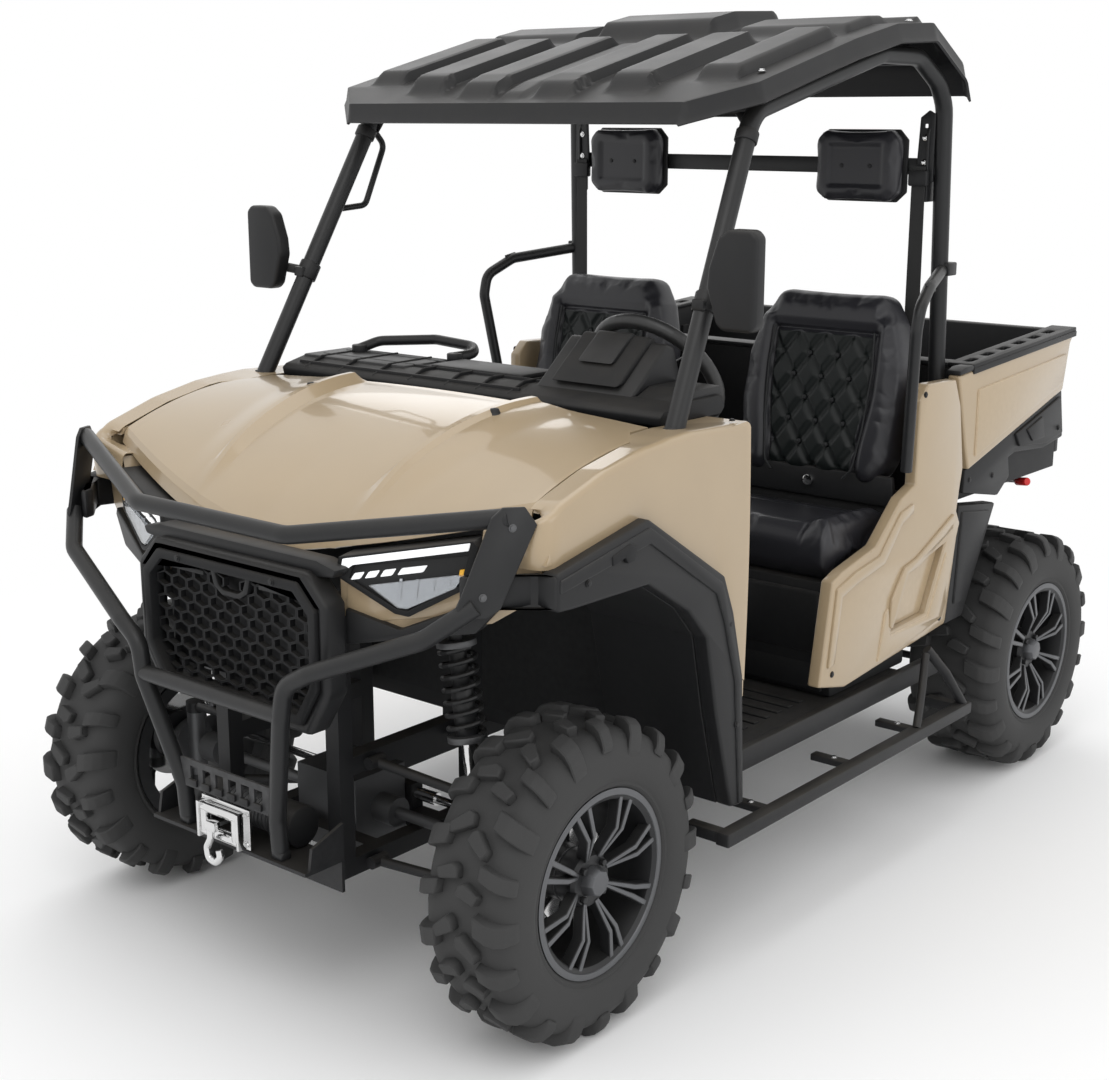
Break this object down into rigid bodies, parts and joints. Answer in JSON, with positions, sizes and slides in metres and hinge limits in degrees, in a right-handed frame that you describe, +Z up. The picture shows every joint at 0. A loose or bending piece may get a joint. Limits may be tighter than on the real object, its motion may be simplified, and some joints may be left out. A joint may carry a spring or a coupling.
{
  "type": "side by side utility vehicle",
  "caption": "Two-seat open utility vehicle with roll cage, roof, front winch and bumper, and a tilting cargo bed with tailgate.",
  "frame": {"origin": "on the ground plane, below the centre of the overall box", "axes": "+Z up, the front faces -Y, +X is the left side of the vehicle"},
  "size_m": [1.58, 2.888, 2.14],
  "materials": {
    "steel_black": "satin",
    "black_plastic": "satin",
    "sand_panel": "gloss",
    "headlight": "gloss",
    "winch_black": "satin",
    "bright_steel": "polished",
    "seat_vinyl": "satin",
    "belt_webbing": "matte",
    "engine_grey": "matte",
    "muffler_steel": "satin",
    "shock_black": "satin",
    "lever_red": "satin",
    "wheel_grip": "satin",
    "rod_steel": "satin",
    "tyre_rubber": "matte",
    "rim_alloy": "satin"
  },
  "bodies": {
    "root": {"chassis_frame": "steel_black", "floor_pan": "black_plastic", "skid_plate": "steel_black", "front_bumper": "steel_black", "winch": "winch_black", "fairlead": "bright_steel", "front_fascia": "black_plastic", "grille": "black_plastic", "headlights": "headlight", "front_fenders": "sand_panel", "fender_flares": "black_plastic", "cowl": "black_plastic", "dashboard": "black_plastic", "instrument_pod": "black_plastic", "grab_handles": "steel_black", "seat_base": "black_plastic", "seat_cushions": "seat_vinyl", "seat_backs": "seat_vinyl", "roll_cage": "steel_black", "roof": "black_plastic", "headrests": "seat_vinyl", "seat_belts": "belt_webbing", "mirrors": "black_plastic", "rear_quarters": "sand_panel", "rear_side_trims": "black_plastic", "side_steps": "steel_black", "engine_block": "engine_grey", "muffler": "muffler_steel", "drive_axles": "steel_black", "suspension_arms": "steel_black", "shock_absorbers": "shock_black", "hitch_receiver": "steel_black"},
    "bonnet": {"bonnet": "sand_panel"},
    "cargo_bed": {"cargo_bed": "black_plastic", "bed_side_panels": "sand_panel", "bed_lever": "lever_red"},
    "tailgate": {"tailgate": "sand_panel"},
    "steering_wheel": {"steering_wheel": "wheel_grip"},
    "steering_rack": {"steering_rack": "rod_steel"},
    "knuckle_left": {"knuckle_left": "steel_black"},
    "knuckle_right": {"knuckle_right": "steel_black"},
    "wheel_front_left": {"tyre_front_left": "tyre_rubber", "rim_front_left": "rim_alloy"},
    "wheel_front_right": {"tyre_front_right": "tyre_rubber", "rim_front_right": "rim_alloy"},
    "wheel_rear_left": {"tyre_rear_left": "tyre_rubber", "rim_rear_left": "rim_alloy"},
    "wheel_rear_right": {"tyre_rear_right": "tyre_rubber", "rim_rear_right": "rim_alloy"}
  },
  "joints": [
    {"name": "steer_left", "type": "hinge", "parent": "root", "child": "knuckle_left", "pos_m": [0.56, -1.028, 0.343], "axis": [0, 0, 1], "range_deg": [-32, 32]},
    {"name": "steer_right", "type": "hinge", "parent": "root", "child": "knuckle_right", "pos_m": [-0.56, -1.028, 0.343], "axis": [0, 0, 1], "range_deg": [-32, 32]},
    {"name": "rack_slide", "type": "slide", "parent": "root", "child": "steering_rack", "axis": [1, 0, 0], "range_m": [-0.0535, 0.0535]},
    {"name": "steering_wheel_turn", "type": "hinge", "parent": "root", "child": "steering_wheel", "pos_m": [0.34, -0.33, 1.28], "axis": [0, 0.8039, 0.5948], "range_deg": [-271, 271]},
    {"name": "spin_front_left", "type": "hinge", "parent": "knuckle_left", "child": "wheel_front_left", "pos_m": [0.634, -1.028, 0.343], "axis": [1, 0, 0], "continuous": true},
    {"name": "spin_front_right", "type": "hinge", "parent": "knuckle_right", "child": "wheel_front_right", "pos_m": [-0.634, -1.028, 0.343], "axis": [1, 0, 0], "continuous": true},
    {"name": "spin_rear_left", "type": "hinge", "parent": "root", "child": "wheel_rear_left", "pos_m": [0.608, 1.028, 0.343], "axis": [1, 0, 0], "continuous": true},
    {"name": "spin_rear_right", "type": "hinge", "parent": "root", "child": "wheel_rear_right", "pos_m": [-0.608, 1.028, 0.343], "axis": [1, 0, 0], "continuous": true},
    {"name": "bonnet_hinge", "type": "hinge", "parent": "root", "child": "bonnet", "pos_m": [0, -0.712, 1.223], "axis": [-1, 0, 0], "range_deg": [0, 55]},
    {"name": "bed_tilt", "type": "hinge", "parent": "root", "child": "cargo_bed", "pos_m": [0, 1.15, 0.8], "axis": [-1, 0, 0], "range_deg": [0, 45]},
    {"name": "tailgate_hinge", "type": "hinge", "parent": "cargo_bed", "child": "tailgate", "pos_m": [0, 1.262, 0.865], "axis": [-1, 0, 0], "range_deg": [0, 90]}
  ],
  "couplings": [
    {"joint": "steer_right", "follows": "steer_left", "ratio": 1},
    {"joint": "rack_slide", "follows": "steer_left", "m_per_rad": -0.0949},
    {"joint": "steering_wheel_turn", "follows": "steer_left", "ratio": 8.4375}
  ]
}
